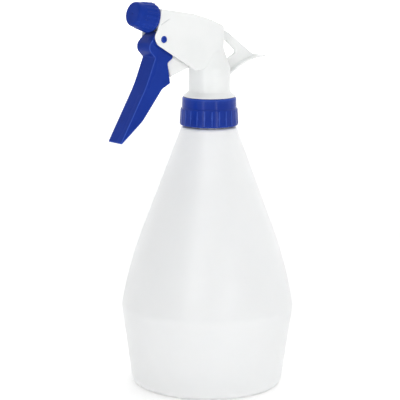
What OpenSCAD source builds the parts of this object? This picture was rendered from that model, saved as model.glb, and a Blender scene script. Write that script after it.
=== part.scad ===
// Trigger spray bottle: a blow-moulded bottle with a screw collar and a trigger pump head.
// The origin is on the bottle's axis, at the plane that it stands on. +Z is up.
// The nozzle points along -X, and the plane y = 0 divides the head into equal halves.

/* [Bottle] */
// Radius of the bottle at its widest ring
ring_r = 51; // [50:0.5:52]
// Height of the widest ring
ring_z = 47.5; // [45:0.5:50]
// Radius that the straight lower wall would have at the floor
foot_r = 44.4; // [43:0.1:46]
// Thickness of the bottle's wall
bottle_wall = 1.1; // [0.8:0.1:1.6]
// Angle of the upper cone from the vertical, in degrees
cone_angle = 20.4; // [20:0.1:20.6]

/* [Neck and collar] */
// Radius of the neck at the root of its thread
neck_r = 12.6; // [12.4:0.1:12.7]
// Radius of the neck's thread at its crest
thread_r = 13.7; // [13.5:0.1:13.7]
// Height of the neck's lip
lip_z = 167.3; // [167:0.1:167.3]
// Distance that the thread climbs in one turn
thread_pitch = 4.2; // [3.2:0.1:4.4]
// Outer radius at the collar's lower edge
collar_r = 17; // [16.8:0.1:17.4]
// Number of grip ribs on the collar
collar_ribs = 24; // [18:1:36]

/* [Head] */
// Outer radius of the shroud's round neck
skirt_r = 12.15; // [12.1:0.05:12.3]
// Radius of the head's back, above the neck's shoulder
hood_back_r = 8.3; // [8.2:0.05:8.5]
// Half width of the shroud at its front edge
shroud_half = 6.8; // [6.7:0.05:7]
// Wall thickness of the shroud
shroud_wall = 0.9; // [0.8:0.05:0.95]
// Width of the tail behind the head
tail_w = 2.4; // [2:0.1:4]
// Upward tilt of the nozzle, in degrees
nozzle_tilt = 13.5; // [13:0.1:14]
// Radius of the nozzle's front rim
nozzle_front_r = 6.85; // [6.5:0.05:7]
// Radius of the nozzle at its back
nozzle_back_r = 8.75; // [8.4:0.05:8.8]
// Number of flutes round the nozzle
nozzle_flutes = 20; // [12:1:28]

/* [Trigger and pump] */
// Width of the trigger's grip
grip_w = 12.2; // [11.8:0.1:12.4]
// Width of the trigger's arms, which sit inside the shroud
arm_w = 11.2; // [11:0.1:11.3]
// Radius of the trigger's pivot pins
pin_r = 1.95; // [1.8:0.05:1.95]
// Radius of the barrel's bore
bore_r = 3.7; // [3.6:0.05:3.75]
// Downward slope of the barrel towards its mouth, in degrees
barrel_slope = 20; // [19.5:0.1:20.5]
// Outer radius of the dip tube
dip_r = 3; // [2.5:0.1:3]

/* [Hidden] */
$fn = 96;
// running clearance between a shaft and its hole
running = 0.05;

// colours
BLUE = [0.10, 0.16, 0.58];
WHITE = [0.93, 0.94, 0.95];
MILK = [0.95, 0.96, 0.95];
SEAL = [0.80, 0.80, 0.78];
STEEL = [0.72, 0.73, 0.75];

// heights of the stack of parts on the neck
collar_z = 155;
gasket_t = 1.3;
flange_z = lip_z + gasket_t;
flange_t = 1.3;
collar_web_z = flange_z + flange_t + 0.05;
collar_top = 171.5;
foot_z = collar_top + 0.1;
foot_top = foot_z + 3.2;

// places in the head, as [distance in front of the neck's axis, height]
pin_at = [38.6, 207.2];
nozzle_at = [42.2, 218.8];
barrel_mouth = [33.4, 189.8];

// lengths along the barrel's axis, from its mouth: + is out towards the trigger
dome_r = 2.6;
dome_reach = 9.5;
piston_inside = 8;
barrel_depth = 24;

// lengths along the nozzle's axis, from the nozzle's back edge
nozzle_len = 14;
nose_len = 11;
nose_r = 5.3;

function unit(v) = v / norm(v);
function arc(c, r, a0, a1, n) = [for (i = [0:n]) let (a = a0 + (a1 - a0) * i / n) c + r * [cos(a), sin(a)]];
function turn(a) = (a + 540) % 360 - 180;
function angle_of(v) = atan2(v[1], v[0]);

// The corner at p between its neighbours, rounded to radius r
function corner(before, p, after, r, n) =
    let (u = unit(before - p), v = unit(after - p))
    let (half = acos(u * v) / 2, t = r / tan(half))
    let (c = p + unit(u + v) * r / sin(half), a0 = angle_of(p + u * t - c), a1 = angle_of(p + v * t - c))
    arc(c, r, a0, a0 + turn(a1 - a0), n);

// An outline from points [x, y, corner radius]
function flat(p) = [p[0], p[1]];
function outline(pts, n = 6) = [for (i = [0:len(pts) - 1])
    let (p = pts[i], before = pts[(i + len(pts) - 1) % len(pts)], after = pts[(i + 1) % len(pts)])
    each p[2] == 0 ? [flat(p)] : corner(flat(before), flat(p), flat(after), p[2], n)];

// A side outline, [forward, height], as a plate of width w across the middle plane
module plate(w) {
    mirror([1, 0, 0]) rotate([90, 0, 0]) linear_extrude(height = w, center = true) children();
}

// A shape drawn along +Z, laid on an axis that leaves the point at, tilted up by tilt
module along(at, tilt) {
    translate([-at[0], 0, at[1]]) rotate([0, tilt - 90, 0]) children();
}

// A cylinder and a tube between two heights
module cylinder_between(r, z0, z1) {
    translate([0, 0, z0]) cylinder(r = r, h = z1 - z0);
}
module tube(r_out, r_in, z0, z1) {
    difference() {
        cylinder_between(r_out, z0, z1);
        cylinder_between(r_in, z0 - 1, z1 + 1);
    }
}

// A flat ring with its inner and outer edges rounded
module soft_ring(r_out, r_in, z0, t, edge) {
    rotate_extrude() polygon(outline([[r_in, z0, edge], [r_out, z0, edge], [r_out, z0 + t, edge],
        [r_in, z0 + t, edge]], 4));
}

// A screw thread: a ridge on radius root with its crest at radius crest, fading in and out at its ends
function ridge_ring(root, crest, z, a, h) =
    let (tip = root + (crest - root) * h)
    [for (p = [[root, -1.1], [tip, -0.4], [tip, 0.4], [root, 1.1]])
        [p[0] * cos(a), p[0] * sin(a), z + p[1]]];
module thread(root, crest, z0, turns, steps = 30) {
    count = ceil(turns * steps);
    rings = [for (i = [0:count]) ridge_ring(root, crest, z0 + thread_pitch * i / steps, 360 * i / steps,
        min(1, 0.15 + min(i, count - i) / 4))];
    inward = crest < root;
    sides = [for (i = [0:count - 1]) for (k = [0:3]) let (a = 4 * i + k, b = 4 * i + (k + 1) % 4)
        each [[a, b, b + 4], [a, b + 4, a + 4]]];
    last = 4 * count;
    faces = concat(sides, [[0, 3, 2], [0, 2, 1], [last, last + 1, last + 2], [last, last + 2, last + 3]]);
    polyhedron([for (r = rings) each r], inward ? [for (f = faces) [f[2], f[1], f[0]]] : faces);
}

// A helical spring drawn along +Z, of wire radius w on mean radius r
module spring(r, w, length, turns, steps = 16, sides = 8) {
    count = turns * steps;
    rings = [for (i = [0:count]) let (a = 360 * i / steps, z = w + (length - 2 * w) * i / count)
        for (k = [0:sides - 1]) let (b = 360 * k / sides, d = r + w * cos(b))
        [d * cos(a), d * sin(a), z + w * sin(b)]];
    faces = [for (i = [0:count - 1]) for (k = [0:sides - 1])
        let (a = sides * i + k, b = sides * i + (k + 1) % sides)
        each [[a, b + sides, b], [a, a + sides, b + sides]]];
    polyhedron(rings, concat(faces, [[for (k = [0:sides - 1]) k]],
        [[for (k = [sides - 1:-1:0]) sides * count + k]]));
}

// ---- bottle ----

// Half section of the bottle's outside, moved inwards by d
shoulder_z = 154;
base_rise = 2.2;
inside_z = base_rise + bottle_wall;
// the straight cone and the slope above the ring would meet here
bend_r = 46.7;
bend_z = 71.7;
function bottle_side(d) = let (top = shoulder_z - d)
    [[foot_r - d, d, 4.2 - d], [ring_r - d, ring_z, 12], [bend_r - d, bend_z, 250],
     [bend_r - d - (top - bend_z) * tan(cone_angle), top, 2.2]];

module bottle() {
    color(MILK) {
        difference() {
            union() {
                rotate_extrude()
                    polygon(outline(concat([[0, 0, 0]], bottle_side(0), [[0, shoulder_z, 0]]), 8));
                cylinder_between(neck_r, shoulder_z - 2, lip_z);
            }
            rotate_extrude()
                polygon(outline(concat([[0, inside_z, 0], [33, inside_z, 3]], bottle_side(bottle_wall),
                    [[0, shoulder_z - bottle_wall, 0]]), 8));
            rotate_extrude() polygon([[0, -1], [37, -1], [37, 0], [33, base_rise], [0, base_rise]]);
            cylinder_between(neck_r - 1.7, shoulder_z - 10, lip_z + 1);
        }
        thread(neck_r - 0.15, thread_r, lip_z - 8.6, 1.5);
    }
}

// ---- collar ----

collar_bore = thread_r + 1.2;
module collar() {
    band_z = 164.9;
    color(BLUE) {
        difference() {
            rotate_extrude() polygon(outline([[0, collar_z, 0], [collar_r, collar_z, 0.5],
                [collar_r - 0.5, band_z, 0.2], [collar_r - 1, band_z + 0.5, 0.2],
                [collar_r - 1.15, collar_top, 1.1], [0, collar_top, 0]], 5));
            cylinder_between(collar_bore, collar_z - 1, collar_web_z);
            cylinder_between(skirt_r - 0.8, collar_z, collar_top + 1);
        }
        thread(collar_bore + 0.15, thread_r + 0.35, collar_z + 4, 1.25);
        for (i = [0:collar_ribs - 1])
            rotate([0, 0, 360 * i / collar_ribs + 12])
                translate([collar_r - 0.55, -0.3, collar_z + 0.8])
                    rotate([0, -2.9, 0]) cube([0.75, 0.6, 8.6]);
    }
}

module neck_gasket() {
    color(SEAL) soft_ring(13.4, 6.2, lip_z, gasket_t, 0.3);
}

// ---- shroud ----

// The head from above: a round back, sides that taper straight to the front, and a narrow tail
front_at = 46;
side_taper = 90 - atan2(shroud_half, front_at) - acos(hood_back_r / norm([front_at, shroud_half]));
function side_y(a) = shroud_half + (front_at - a) * tan(side_taper);
function tangent_point(p, r) = let (a = angle_of(p) + acos(r / norm(p))) r * [cos(a), sin(a)];
module plan(front_half, back_r, tail) {
    p = [front_at, front_half];
    t = tangent_point(p, back_r);
    side = [[-60, tail / 2], [-back_r * 0.9, tail / 2 + 0.3], [-back_r * 0.75, back_r * 0.62], t, p];
    polygon(concat(side, [for (i = [len(side) - 1:-1:0]) [side[i][0], -side[i][1]]]));
    circle(r = back_r);
}

// The head from the side. The lower edge runs from the pivot lobe to the neck
crease_at = [41.1, 215.3];
neck_top = 204;
foot_rim = 15.5;
hood_side = [[40.3, 224.5, 1.2], [41.8, 217.6, 6], [43, 212.6, 4], [45.6, 208.8, 4.6], [42.9, 204.1, 4.5],
    [16.2, 188.3, 2.5], [10.3, 188.6, 4], [4, 197, 0], [-7, 197, 0], [-9, 183.9, 0], [-18.9, 188, 6],
    [-26, 191, 20], [-33, 192.7, 20], [-39.8, 193, 0.4], [-39.5, 193.9, 0.4], [-32.2, 194.7, 6],
    [-24.4, 200.2, 20], [-14.2, 207.6, 20], [-4, 213.3, 30], [8, 218.1, 30], [18, 220.9, 40]];
hollow_side = [[48, 223, 0], [48, 190, 0], [19, 180, 0], [13, 180, 0], [13, 190.3, 0], [10.6, 190.4, 0],
    [3, 199, 0], [-7, 199, 0], [-7.4, 205, 4], [-3.4, 211.6, 10], [8, 216.6, 20], [20, 220, 20]];
tail_hole = [[-10.4, 204.9, 1.2], [-20.4, 196.6, 1.6], [-11.6, 192.3, 1.2], [-8.7, 199.4, 4],
    [-8.7, 202, 2]];
rim_side = [[-11.5, 183.5, 0], [-18.9, 188, 6], [-26, 191, 20], [-33, 192.7, 20], [-39.8, 193, 0.3],
    [-39.7, 194, 0.3], [-33, 193.8, 20], [-26, 192.2, 20], [-18.9, 189.3, 6], [-11.5, 185, 0]];

module from_above() {
    mirror([1, 0, 0]) translate([0, 0, 165]) linear_extrude(height = 75) children();
}

// The neck, which draws in over its shoulder to the head's back, moved inwards by d
module shouldered_neck(d, z0) {
    rotate_extrude() polygon(outline([[0, z0, 0], [skirt_r - d, z0, 0], [skirt_r - d, 188.5 - d / 2, 9],
        [hood_back_r - d, 199.5 - d / 2, 5], [hood_back_r - d, neck_top, 0], [0, neck_top, 0]]));
}

module shroud() {
    side_half = shroud_half - shroud_wall;
    color(WHITE) difference() {
        union() {
            intersection() {
                plate(40) polygon(outline(hood_side));
                from_above() plan(shroud_half, hood_back_r, tail_w);
            }
            shouldered_neck(0, foot_top);
            plate(9) polygon(outline(rim_side));
            rotate_extrude() polygon(outline([[0, foot_z, 0], [foot_rim, foot_z, 0.3],
                [foot_rim - 0.2, foot_z + 0.6, 0.3], [skirt_r, foot_top, 1], [skirt_r, foot_top + 3, 0],
                [0, foot_top + 3, 0]]));
        }
        intersection() {
            plate(40) polygon(outline(hollow_side));
            from_above() plan(side_half, hood_back_r - shroud_wall, 1);
        }
        shouldered_neck(shroud_wall, foot_z - 1);
        plate(40) polygon(outline(tail_hole));
        // bores for the trigger's pins
        translate([-pin_at[0], 0, pin_at[1]]) rotate([90, 0, 0])
            cylinder(r = pin_r + running, h = 30, center = true);
        // round opening for the pump body's nose
        along(nozzle_at, nozzle_tilt) translate([0, 0, -5]) cylinder(r = nose_r + 0.25, h = 12);
        // fine crease on each side, which rises backwards from the nozzle
        for (s = [-1, 1]) scale([1, s, 1])
            translate([-crease_at[0], side_y(crease_at[0]) - 0.2, crease_at[1]])
                rotate([0, -28.5, side_taper]) cube([7.3, 1.5, 0.45]);
    }
}

// ---- pump body ----

riser_r = 4.6;
neck_wall_r = skirt_r - shroud_wall - 0.2;
barrel_half = 4.4;
module barrel_block() {
    translate([-barrel_half - 0.3, -barrel_half, -barrel_depth - 3])
        cube([2 * barrel_half + 2.2, 2 * barrel_half, barrel_depth + 3]);
}

module pump_body() {
    color(WHITE) difference() {
        union() {
            cylinder_between(12.9, flange_z, flange_z + flange_t);
            tube(neck_wall_r, neck_wall_r - 1.2, flange_z, 184);
            cylinder_between(5.6, 160, 176);
            cylinder_between(riser_r, 170, 208.5);
            along(barrel_mouth, -barrel_slope) barrel_block();
            // outlet tube, its collar behind the nozzle, and the nose that the nozzle turns on
            along(nozzle_at, nozzle_tilt) {
                translate([0, 0, -43]) cylinder(r = 4, h = 43);
                translate([0, 0, -3.5]) cylinder(r = nose_r, h = nose_len + 3.5);
            }
            // web between the outlet tube and the barrel
            plate(2) polygon([[2, 207], [2, 200], [28, 192], [26, 214], [10, 210.5]]);
        }
        // barrel's bore and its port to the riser
        along(barrel_mouth, -barrel_slope) {
            translate([0, 0, -barrel_depth]) cylinder(r = bore_r, h = barrel_depth + 1);
            translate([0, 0, -barrel_depth - 8]) cylinder(r = 0.9, h = 9);
        }
        // socket for the valve cage, and the riser's channel
        cylinder_between(4.1, 159, 173);
        cylinder_between(1.5, 170, 209);
        // outlet channel, and the chamber of the outlet valve
        along(nozzle_at, nozzle_tilt) {
            translate([0, 0, -43]) cylinder(r = 1.2, h = 60);
            translate([0, 0, nose_len - 13]) cylinder(r = 2.5, h = 14);
        }
        // air vent through the flange
        translate([-8, 0, flange_z - 1]) cylinder(r = 0.8, h = 5);
    }
}

// ---- trigger ----

trigger_side = [[41, 211.4, 2], [44.6, 208.7, 2], [50, 202.9, 4.4], [44.1, 196.9, 1], [50.4, 181.2, 60],
    [68.3, 150, 0.5], [67.4, 149.8, 0.3], [52.9, 161.6, 30], [39.2, 179, 2], [33.4, 182, 0.8],
    [35.4, 193.7, 1.5], [31, 196.6, 0.6], [34.4, 204.6, 4], [34.9, 211.2, 3]];
channel_side = [[42.9, 207, 1], [48, 202.9, 3.2], [42.8, 197.2, 1], [49.3, 181, 60], [66.5, 151.3, 0],
    [50, 145, 0], [15, 175, 0], [15, 212, 0], [40, 213, 0]];

module trigger() {
    wall = 1;
    color(BLUE) {
        difference() {
            intersection() {
                plate(grip_w) polygon(outline(trigger_side));
                // the arms above the shroud's lower edge are narrower than the grip
                union() {
                    plate(arm_w) translate([0, 140]) square([80, 80]);
                    plate(grip_w) polygon([[12, 184.2], [42.9, 202.7], [45.6, 204.6], [45.6, 212],
                        [60, 212], [90, 140], [12, 140]]);
                }
            }
            plate(arm_w - 2 * wall) polygon(outline(channel_side));
            plate(grip_w - 2 * wall) polygon(outline([[44.9, 192, 0], [49.3, 181, 60], [66.5, 151.3, 0],
                [50, 145, 0], [15, 175, 0], [15, 192, 0]]));
        }
        // pad that pushes the piston
        plate(grip_w - 2 * wall + 0.4)
            polygon([[43.4, 182.35], [45.98, 188.15], [47, 187.6], [50.2, 180.6]]);
        // pivot pins
        for (s = [-1, 1]) scale([1, s, 1])
            translate([-pin_at[0], arm_w / 2 - wall, pin_at[1]]) rotate([-90, 0, 0])
                cylinder(r = pin_r, h = shroud_half + 0.35 - arm_w / 2 + wall);
    }
}

// ---- nozzle ----

module nozzle_cap() {
    flute_angle = atan2(nozzle_back_r - nozzle_front_r, nozzle_len);
    color(BLUE) along(nozzle_at, nozzle_tilt) difference() {
        union() {
            rotate_extrude() polygon(outline([[0, 0, 0], [nozzle_back_r - 0.75, 0, 0.3],
                [nozzle_back_r - 0.7, 1.4, 0.1], [nozzle_back_r - 0.2, 1.7, 0.4],
                [nozzle_front_r, nozzle_len, 1.6], [0, nozzle_len, 0]], 5));
            for (i = [0:nozzle_flutes - 1])
                rotate([0, 0, 360 * i / nozzle_flutes]) translate([nozzle_back_r - 0.55, -0.5, 1.8])
                    rotate([0, -flute_angle, 0]) cube([0.6, 1, 7.5]);
        }
        translate([0, 0, -1]) cylinder(r = nose_r + running, h = nose_len + 2.1);
        translate([0, 0, -1]) cylinder(r = 6.6, h = 4.5);
        cylinder(r = 0.35, h = 30);
    }
}

module nozzle_seal() {
    color(SEAL) along(nozzle_at, nozzle_tilt) soft_ring(nose_r - 0.1, 2.7, nose_len + 0.05, 0.9, 0.2);
}

module swirl_core() {
    color(WHITE) along(nozzle_at, nozzle_tilt) difference() {
        translate([0, 0, nose_len - 4.5]) cylinder(r = 2.45, h = 5.2);
        translate([0, 0, nose_len - 5]) cylinder(r = 0.9, h = 4);
        for (a = [0, 120, 240]) rotate([0, 0, a]) translate([1.9, -0.35, nose_len - 6]) cube([2, 0.7, 8]);
    }
}

module outlet_valve() {
    color(SEAL) along(nozzle_at, nozzle_tilt) {
        translate([0, 0, nose_len - 13]) cylinder(r = 2.2, h = 1);
        translate([0, 0, nose_len - 12.05]) cylinder(r = 0.9, h = 1.6);
    }
}

module outlet_spring() {
    color(STEEL) along(nozzle_at, nozzle_tilt) translate([0, 0, nose_len - 11.95])
        spring(1.55, 0.2, 7.4, 7);
}

// ---- piston ----

module piston() {
    color(WHITE) along(barrel_mouth, -barrel_slope) difference() {
        union() {
            translate([0, 0, dome_reach]) sphere(r = dome_r);
            translate([0, 0, -piston_inside]) cylinder(r = dome_r, h = dome_reach + piston_inside);
            translate([0, 0, -piston_inside]) cylinder(r = bore_r - running, h = 1.2);
            translate([0, 0, -piston_inside + 2.6]) cylinder(r = bore_r - running, h = 1.6);
            translate([0, 0, -2]) cylinder(r = bore_r - running, h = 1.2);
        }
        translate([0, 0, -piston_inside - 1]) cylinder(r = 2, h = 8);
    }
}

module piston_cup_seal() {
    color(SEAL) along(barrel_mouth, -barrel_slope)
        soft_ring(bore_r - 0.03, dome_r + 0.02, -piston_inside + 1.22, 1.34, 0.3);
}

module piston_vent_seal() {
    color(SEAL) along(barrel_mouth, -barrel_slope) soft_ring(bore_r - 0.03, dome_r + 0.02, -3.7, 1.6, 0.3);
}

module return_spring() {
    color(STEEL) along(barrel_mouth, -barrel_slope) translate([0, 0, -barrel_depth])
        spring(1.6, 0.3, barrel_depth - piston_inside + 6.9, 10);
}

// ---- inlet ----

ball_r = 2.2;
cage_seat = 164;
module valve_cage() {
    color(WHITE) difference() {
        union() {
            cylinder_between(4.05, 156, 172.5);
            cylinder_between(5.2, 156, 158.5);
        }
        cylinder_between(dip_r + 0.02, 155, 162);
        cylinder_between(1.6, 155, 175);
        cylinder_between(2.5, cage_seat, 175);
    }
}

module inlet_ball() {
    seat_drop = sqrt(ball_r * ball_r - 1.6 * 1.6);
    color(STEEL) translate([0, 0, cage_seat + seat_drop + 0.02]) sphere(r = ball_r);
}

module dip_tube() {
    color(MILK) tube(dip_r, dip_r - 0.9, 7, 162);
}

module strainer() {
    color(WHITE) difference() {
        union() {
            cylinder_between(4.2, 4.2, 14);
            cylinder_between(4.5, 12.6, 14);
        }
        translate([0, 0, 5.4]) cylinder(r = dip_r + 0.02, h = 10);
        for (a = [0:60:300]) rotate([0, 0, a]) translate([2.2, -0.5, 3]) cube([3, 1, 3.4]);
        for (x = [-1.2, 0, 1.2]) translate([x - 0.3, -2, 3]) cube([0.6, 4, 3]);
    }
}

bottle();
collar();
neck_gasket();
shroud();
pump_body();
trigger();
nozzle_cap();
nozzle_seal();
swirl_core();
outlet_valve();
outlet_spring();
piston();
piston_cup_seal();
piston_vent_seal();
return_spring();
valve_cage();
inlet_ball();
dip_tube();
strainer();
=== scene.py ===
import math

import bpy
from mathutils import Matrix, Vector


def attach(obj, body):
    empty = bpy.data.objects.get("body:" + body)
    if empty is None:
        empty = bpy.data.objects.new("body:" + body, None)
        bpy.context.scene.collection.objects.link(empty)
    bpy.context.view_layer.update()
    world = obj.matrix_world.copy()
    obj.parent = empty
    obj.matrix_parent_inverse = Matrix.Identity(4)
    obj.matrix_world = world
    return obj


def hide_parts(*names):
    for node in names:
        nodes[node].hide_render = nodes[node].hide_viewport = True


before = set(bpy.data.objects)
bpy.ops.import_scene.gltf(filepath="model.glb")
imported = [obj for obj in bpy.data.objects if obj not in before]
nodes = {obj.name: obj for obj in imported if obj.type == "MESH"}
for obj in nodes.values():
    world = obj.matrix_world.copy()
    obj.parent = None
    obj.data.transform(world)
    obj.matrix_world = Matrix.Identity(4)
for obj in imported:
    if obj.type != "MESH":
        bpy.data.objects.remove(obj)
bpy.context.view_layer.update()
scene = bpy.context.scene
scene.view_settings.view_transform = "Standard"

MM = 0.001
# how far the photograph's camera stands round the upright axis from -Y, towards the nozzle's side, -X
PHOTO_TURN = math.radians(39.0)


# ---- node helpers ----

class Tree:
    """A short way to write a material's nodes."""

    def __init__(self, name):
        self.m = bpy.data.materials.new(name)
        self.m.use_nodes = True
        self.t = self.m.node_tree
        self.shader = self.t.nodes["Principled BSDF"]
        self.place = self.new("ShaderNodeTexCoord").outputs["Object"]

    def new(self, kind, **settings):
        n = self.t.nodes.new(kind)
        for k, v in settings.items():
            setattr(n, k, v)
        return n

    def join(self, a, b):
        self.t.links.new(a, b)

    def put(self, socket, value):
        if isinstance(value, bpy.types.NodeSocket):
            self.join(value, socket)
        else:
            socket.default_value = value

    def fixed(self, **values):
        for k, v in values.items():
            self.shader.inputs[k.replace("_", " ")].default_value = v

    def math(self, op, a, b=0.0):
        n = self.new("ShaderNodeMath", operation=op)
        for s, v in zip(n.inputs, (a, b)):
            self.put(s, v)
        return n.outputs[0]

    def ramp(self, value, a, b, lo, hi):
        """value from a..b mapped smoothly to lo..hi."""
        n = self.new("ShaderNodeMapRange", interpolation_type="SMOOTHSTEP")
        for s, v in zip(n.inputs, (value, a, b, lo, hi)):
            self.put(s, v)
        return n.outputs[0]

    def noise(self, scale, detail=3.0, rough=0.5, stretch=None):
        where = self.place
        if stretch:
            m = self.new("ShaderNodeMapping")
            self.join(where, m.inputs["Vector"])
            m.inputs["Scale"].default_value = stretch
            where = m.outputs[0]
        n = self.new("ShaderNodeTexNoise")
        self.join(where, n.inputs["Vector"])
        n.inputs["Scale"].default_value = scale
        n.inputs["Detail"].default_value = detail
        n.inputs["Roughness"].default_value = rough
        return n.outputs["Fac"]

    def mix(self, fac, a, b):
        """Colour a, turning to b as fac goes from 0 to 1; 0, 6, 7 and 2 are the node's colour sockets."""
        n = self.new("ShaderNodeMix", data_type="RGBA")
        self.put(n.inputs[0], fac)
        self.put(n.inputs[6], a)
        self.put(n.inputs[7], b)
        return n.outputs[2]

    def bump(self, height, strength, distance, normal=None):
        n = self.new("ShaderNodeBump")
        n.inputs["Strength"].default_value = strength
        n.inputs["Distance"].default_value = distance
        self.join(height, n.inputs["Height"])
        if normal:
            self.join(normal, n.inputs["Normal"])
        return n.outputs[0]

    def scatter(self, weight, scale):
        """Light that soaks into the plastic and comes out nearly white."""
        self.fixed(Subsurface_Weight=weight, Subsurface_Scale=scale, Subsurface_Radius=(1.0, 0.95, 0.9))

    def xyz(self):
        n = self.new("ShaderNodeSeparateXYZ")
        self.join(self.place, n.inputs[0])
        return n.outputs

    def rubbed_highlit_edges(self, lo, hi):
        """1 on outer edges, from the surface's pointiness; these edges get rubbed wear and a painted
        highlight.
        """
        g = self.new("ShaderNodeNewGeometry")
        return self.ramp(g.outputs["Pointiness"], lo, hi, 0.0, 1.0)


def moulded(name, base, shade, light, rough, rub_and_highlight=0.8):
    """Injection-moulded polypropylene: colour mottle, flow-mark sheen, fine tool texture, and rubbed edges
    lightened with a painted highlight.
    """
    t = Tree(name)
    mottle = t.noise(70.0, 4.0)
    flow = t.noise(28.0, 3.0, stretch=(1.0, 1.0, 0.25))
    colour = t.mix(t.ramp(mottle, 0.3, 0.7, 0.0, 1.0), shade, base)
    # painted highlight and rubbed wear: outer edges are lightened towards the light colour
    colour = t.mix(t.math("MULTIPLY", t.rubbed_highlit_edges(0.507, 0.535), rub_and_highlight), colour, light)
    t.join(colour, t.shader.inputs["Base Color"])
    scuff = t.noise(420.0, 5.0, 0.65, stretch=(1.0, 1.0, 3.0))
    sheen = t.ramp(flow, 0.3, 0.7, rough - 0.035, rough + 0.035)
    t.join(t.math("ADD", sheen, t.ramp(scuff, 0.62, 0.8, 0.0, 0.10)), t.shader.inputs["Roughness"])
    n = t.bump(t.noise(24.0, 2.0), 0.05, 0.6 * MM)
    n = t.bump(t.noise(2600.0, 2.0), 0.35, 0.012 * MM, n)
    t.join(n, t.shader.inputs["Normal"])
    t.fixed(IOR=1.49)
    return t


def paint_groove_shade(t, start, slope, length):
    """Painted shade along the bottom of a fine groove in both sides, from start = (x, z), rising at slope
    degrees.
    """
    x, y, z = t.xyz()
    c, s = math.cos(math.radians(slope)), math.sin(math.radians(slope))
    along = t.math("ADD", t.math("MULTIPLY", x, c), t.math("MULTIPLY", z, s))
    across = t.math("SUBTRACT", t.math("MULTIPLY", z, c), t.math("MULTIPLY", x, s))
    along = t.math("SUBTRACT", along, start[0] * c + start[1] * s)
    across = t.math("ABSOLUTE", t.math("SUBTRACT", across, start[1] * c - start[0] * s))
    line = t.ramp(across, 0.12 * MM, 0.45 * MM, 1.0, 0.0)
    ends = t.math("MULTIPLY", t.ramp(along, 0.0, 0.6 * MM, 0.0, 1.0),
                  t.ramp(along, length - 2 * MM, length, 1.0, 0.0))
    side = t.ramp(t.math("ABSOLUTE", y), 4 * MM, 5 * MM, 0.0, 1.0)
    line = t.math("MULTIPLY", t.math("MULTIPLY", line, ends), side)
    base = t.shader.inputs["Base Color"]
    colour = base.links[0].from_socket
    # painted shade: the groove's bottom is darkened towards grey
    t.join(t.mix(t.math("MULTIPLY", line, 0.75), colour, (0.50, 0.51, 0.52, 1)), base)


def milky(name):
    """Blow-moulded natural polyethylene: milky, with faint upright draw lines and a parting line."""
    t = Tree(name)
    x, y, _ = t.xyz()
    mottle = t.noise(38.0, 4.0)
    cloud = t.noise(9.0, 2.0)
    mottled = t.ramp(mottle, 0.3, 0.7, 0.0, 1.0)
    colour = t.mix(mottled, (0.915, 0.92, 0.915, 1), (0.935, 0.94, 0.935, 1))
    colour = t.mix(t.ramp(cloud, 0.35, 0.65, 0.0, 0.35), colour, (0.90, 0.91, 0.905, 1))
    t.join(colour, t.shader.inputs["Base Color"])
    draw = t.noise(60.0, 4.0, stretch=(1.0, 1.0, 0.05))
    t.join(t.ramp(draw, 0.3, 0.7, 0.34, 0.46), t.shader.inputs["Roughness"])
    n = t.bump(draw, 0.05, 1.0 * MM)
    n = t.bump(t.noise(900.0, 3.0), 0.25, 0.02 * MM, n)
    # the mould halves part on the upright plane that faces the camera, so the line is on the outline
    off = t.math("ABSOLUTE", t.math("ADD", t.math("MULTIPLY", x, 0.629), t.math("MULTIPLY", y, 0.777)))
    seam = t.ramp(off, 0.08 * MM, 0.3 * MM, 1.0, 0.0)
    n = t.bump(seam, 0.5, 0.12 * MM, n)
    t.join(n, t.shader.inputs["Normal"])
    t.fixed(IOR=1.51)
    t.scatter(0.5, 5 * MM)
    return t


def rubber(name):
    """Pale grey sealing rubber with a dull, finely pitted skin."""
    t = Tree(name)
    mottled = t.ramp(t.noise(160.0, 4.0), 0.3, 0.7, 0.0, 1.0)
    colour = t.mix(mottled, (0.60, 0.60, 0.57, 1), (0.68, 0.68, 0.65, 1))
    t.join(colour, t.shader.inputs["Base Color"])
    t.join(t.ramp(t.noise(90.0, 3.0), 0.3, 0.7, 0.5, 0.62), t.shader.inputs["Roughness"])
    t.join(t.bump(t.noise(3000.0, 2.0), 0.4, 0.02 * MM), t.shader.inputs["Normal"])
    t.fixed(Specular_IOR_Level=0.35)
    return t


def steel(name):
    """Drawn stainless steel with fine marks along it."""
    t = Tree(name)
    drawn = t.noise(900.0, 3.0, stretch=(1.0, 1.0, 0.2))
    mottled = t.ramp(t.noise(300.0, 3.0), 0.35, 0.65, 0.0, 1.0)
    colour = t.mix(mottled, (0.52, 0.53, 0.55, 1), (0.66, 0.67, 0.69, 1))
    t.join(colour, t.shader.inputs["Base Color"])
    t.join(t.ramp(drawn, 0.3, 0.7, 0.16, 0.30), t.shader.inputs["Roughness"])
    t.join(t.bump(drawn, 0.3, 0.01 * MM), t.shader.inputs["Normal"])
    t.fixed(Metallic=1.0)
    return t


def clear_tube(name):
    """Extruded polyethylene tube: whitish and a little see-through, with fine lines along it."""
    t = Tree(name)
    lines = t.noise(700.0, 2.0, stretch=(1.0, 1.0, 0.01))
    colour = t.mix(t.ramp(lines, 0.3, 0.7, 0.0, 1.0), (0.80, 0.83, 0.83, 1), (0.90, 0.92, 0.92, 1))
    t.join(colour, t.shader.inputs["Base Color"])
    t.join(t.ramp(t.noise(120.0, 3.0), 0.3, 0.7, 0.25, 0.38), t.shader.inputs["Roughness"])
    t.join(t.bump(lines, 0.2, 0.03 * MM), t.shader.inputs["Normal"])
    t.fixed(IOR=1.5)
    t.scatter(0.4, 2 * MM)
    return t
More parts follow.
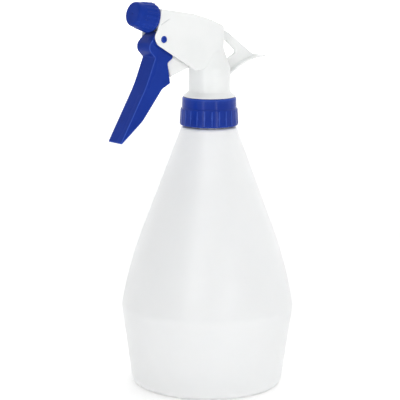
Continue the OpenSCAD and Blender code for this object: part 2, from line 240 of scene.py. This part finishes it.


# each plastic's base colour, its darker mottle and its rubbed edges with their painted highlight
DEEP_BLUE = (0.0085, 0.034, 0.270, 1), (0.0070, 0.028, 0.235, 1), (0.038, 0.085, 0.42, 1)
SOFT_WHITE = (0.765, 0.775, 0.77, 1), (0.735, 0.75, 0.745, 1), (0.80, 0.805, 0.80, 1)
BLUE = moulded("blue_plastic", *DEEP_BLUE, 0.26)
# the nozzle's edges get a weaker painted highlight and rub
NOZZLE = moulded("nozzle_plastic", *DEEP_BLUE, 0.26, rub_and_highlight=0.35)
COLLAR = moulded("collar_plastic", *DEEP_BLUE, 0.22)
for blue, gloss in ((BLUE, 0.06), (NOZZLE, 0.06), (COLLAR, 0.11)):
    blue.fixed(Specular_IOR_Level=gloss)
WHITE = moulded("white_plastic", *SOFT_WHITE, 0.36)
SHROUD = moulded("shroud_plastic", *SOFT_WHITE, 0.36)
for white in (WHITE, SHROUD):
    white.scatter(0.1, 1 * MM)
# the groove beside the nozzle: its lower end as (x, z), its slope in degrees and its length
CREASE = ((-0.0411, 0.2153), 28.5, 7.8 * MM)
# painted shade along the shroud's groove
paint_groove_shade(SHROUD, *CREASE)
BOTTLE = milky("bottle_plastic")
SEAL = rubber("seal_rubber")
STEEL = steel("spring_steel")
TUBE = clear_tube("tube_plastic")

finish = {
    "bottle": BOTTLE, "collar": COLLAR, "trigger": BLUE, "nozzle_cap": NOZZLE, "shroud": SHROUD,
    "pump_body": WHITE, "piston": WHITE, "valve_cage": WHITE, "swirl_core": WHITE, "strainer": WHITE,
    "dip_tube": TUBE, "neck_gasket": SEAL, "nozzle_seal": SEAL, "piston_cup_seal": SEAL,
    "piston_vent_seal": SEAL, "outlet_valve": SEAL, "outlet_spring": STEEL, "return_spring": STEEL,
    "inlet_ball": STEEL,
}


def paint(o, material):
    o.data.materials.clear()
    o.data.materials.append(material)
    for p in o.data.polygons:
        p.material_index = 0


for name, tree in finish.items():
    paint(nodes[name], tree.m)


# ---- moulded pieces with their edges rounded ----

def bake(o):
    """Replaces o's mesh with the result of its modifiers."""
    dg = bpy.context.evaluated_depsgraph_get()
    mesh = bpy.data.meshes.new_from_object(o.evaluated_get(dg))
    old = o.data
    o.modifiers.clear()
    o.data = mesh
    bpy.data.meshes.remove(old)


def rounded(node, name, body, voxel, passes):
    """A piece that stands for a CAD node: the same shape with soft moulded edges and blended joins."""
    src = nodes[node]
    o = bpy.data.objects.new(name, src.data.copy())
    scene.collection.objects.link(o)
    w = o.modifiers.new("weld", "WELD")
    w.merge_threshold = 0.005 * MM
    r = o.modifiers.new("remesh", "REMESH")
    r.mode, r.voxel_size, r.adaptivity = "VOXEL", voxel, 0.0
    s = o.modifiers.new("soften", "SMOOTH")
    s.factor, s.iterations = 0.5, passes
    bake(o)
    for p in o.data.polygons:
        p.use_smooth = True
    paint(o, finish[node].m)
    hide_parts(node)
    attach(o, body)
    return o


def press_groove(o, start, slope, length, half_width, depth, beyond):
    """Presses a groove into both sides of o, placed as for crease. Only points with |y| > beyond move."""
    c, s = math.cos(math.radians(slope)), math.sin(math.radians(slope))
    for v in o.data.vertices:
        dx, dz = v.co.x - start[0], v.co.z - start[1]
        along, across = dx * c + dz * s, dz * c - dx * s
        if abs(v.co.y) > beyond and 0 < along < length and abs(across) < half_width:
            fade = min(1.0, along / MM, (length - along) / (2 * MM))
            v.co.y -= math.copysign(depth * fade * (1 - (across / half_width) ** 2), v.co.y)


hood = rounded("shroud", "shroud_moulding", "head", 0.32 * MM, 4)
press_groove(hood, *CREASE, half_width=0.5 * MM, depth=0.22 * MM, beyond=6.5 * MM)
rounded("trigger", "trigger_moulding", "trigger", 0.30 * MM, 4)
rounded("nozzle_cap", "nozzle_moulding", "nozzle", 0.16 * MM, 5)


# ---- floor, lights and camera ----

def stage_floor():
    """A pale floor that curves up behind the object."""
    me = bpy.data.meshes.new("floor")
    near, back, bend, top, half = -6.0, 2.2, 0.9, 7.0, 6.0
    turns = [math.pi / 2 * i / 12 for i in range(1, 13)]
    profile = [(near, 0.0), (back, 0.0)]
    profile += [(back + bend * math.sin(a), bend - bend * math.cos(a)) for a in turns]
    profile.append((back + bend, top))
    verts = [(s, d, h) for d, h in profile for s in (-half, half)]
    faces = [(2 * i, 2 * i + 1, 2 * i + 3, 2 * i + 2) for i in range(len(profile) - 1)]
    me.from_pydata(verts, [], faces)
    o = bpy.data.objects.new("floor", me)
    scene.collection.objects.link(o)
    o.rotation_euler = (0, 0, -PHOTO_TURN)
    for p in me.polygons:
        p.use_smooth = True
    t = Tree("floor_paper")
    paper = t.mix(t.noise(3.0, 3.0), (0.93, 0.93, 0.93, 1), (0.95, 0.95, 0.95, 1))
    t.join(paper, t.shader.inputs["Base Color"])
    t.fixed(Roughness=0.9, Specular_IOR_Level=0.1, Emission_Color=(1, 1, 1, 1))
    # the far paper is lit by lamps of its own
    far = t.new("ShaderNodeVectorMath", operation="LENGTH")
    t.join(t.place, far.inputs[0])
    t.join(t.ramp(far.outputs["Value"], 0.4, 2.4, 0.12, 0.75), t.shader.inputs["Emission Strength"])
    me.materials.append(t.m)


def area_light(name, at, target, width, height, power):
    """A white rectangular lamp that faces target."""
    data = bpy.data.lights.new(name, "AREA")
    data.shape = "RECTANGLE"
    data.size, data.size_y = width, height
    data.energy = power
    o = bpy.data.objects.new(name, data)
    scene.collection.objects.link(o)
    o.location = at
    o.rotation_euler = (Vector(target) - Vector(at)).to_track_quat("-Z", "Y").to_euler()


def shown_at(right, toward, up):
    """A point given from the camera's side: metres to its right, towards it and up."""
    c, s = math.cos(PHOTO_TURN), math.sin(PHOTO_TURN)
    return Vector((c, -s, 0)) * right + Vector((-s, -c, 0)) * toward + Vector((0, 0, up))


# the room's strength behind the object and on the side that the photograph was taken from
WORLD_BACK, WORLD_FRONT = 0.92, 0.18


def studio_world():
    """An even white room, dimmer on the camera's side so that the object's front reflects less."""
    world = bpy.data.worlds.new("studio")
    scene.world = world
    world.use_nodes = True
    t = world.node_tree
    back = t.nodes["Background"]
    place = t.nodes.new("ShaderNodeTexCoord")
    dot = t.nodes.new("ShaderNodeVectorMath")
    dot.operation = "DOT_PRODUCT"
    t.links.new(place.outputs["Generated"], dot.inputs[0])
    dot.inputs[1].default_value = shown_at(-0.25, 0.97, 0)
    span = t.nodes.new("ShaderNodeMapRange")
    span.interpolation_type = "SMOOTHSTEP"
    for s, v in zip(span.inputs, (dot.outputs["Value"], -0.3, 0.7, WORLD_BACK, WORLD_FRONT)):
        if isinstance(v, float):
            s.default_value = v
        else:
            t.links.new(v, s)
    back.inputs["Color"].default_value = (1, 1, 1, 1)
    t.links.new(span.outputs[0], back.inputs["Strength"])


stage_floor()
studio_world()
middle, collar_at = (0, 0, 0.13), (0, 0, 0.17)
area_light("key", shown_at(-0.10, 1.5, 0.95), middle, 0.9, 0.9, 6.2)
area_light("top", (0, 0, 1.3), middle, 0.9, 0.9, 3.0)
area_light("strip_left", shown_at(-0.46, 1.1, 0.35), collar_at, 0.04, 0.6, 2.3)
area_light("strip_right", shown_at(0.66, 1.1, 0.35), collar_at, 0.04, 0.6, 2.3)


def add_camera():
    """The photograph's view. distance is from the upright axis, and the lens is given in sensor widths."""
    data = bpy.data.cameras.new("camera")
    cam = bpy.data.objects.new("camera", data)
    scene.collection.objects.link(cam)
    scene.camera = cam
    pitch, yaw, roll = math.radians(10.55), math.radians(0.28), math.radians(0.48)
    distance, height, lens_widths = 1.0001, 0.2961, 4.3025
    fwd = Vector((-math.sin(yaw) * math.cos(pitch), math.cos(yaw) * math.cos(pitch), -math.sin(pitch)))
    right = Vector((math.cos(yaw), math.sin(yaw), 0))
    up = right.cross(fwd)
    # roll turns the picture about the line of sight
    rolled_right = right * math.cos(roll) + up * math.sin(roll)
    rolled_up = up * math.cos(roll) - right * math.sin(roll)
    m = Matrix((rolled_right, rolled_up, -fwd)).transposed().to_4x4()
    m.translation = Vector((0, -distance, height))
    cam.matrix_world = Matrix.Rotation(-PHOTO_TURN, 4, "Z") @ m
    data.sensor_width = 36.0
    data.lens = lens_widths * data.sensor_width
    data.clip_start, data.clip_end = 0.05, 50.0


add_camera()
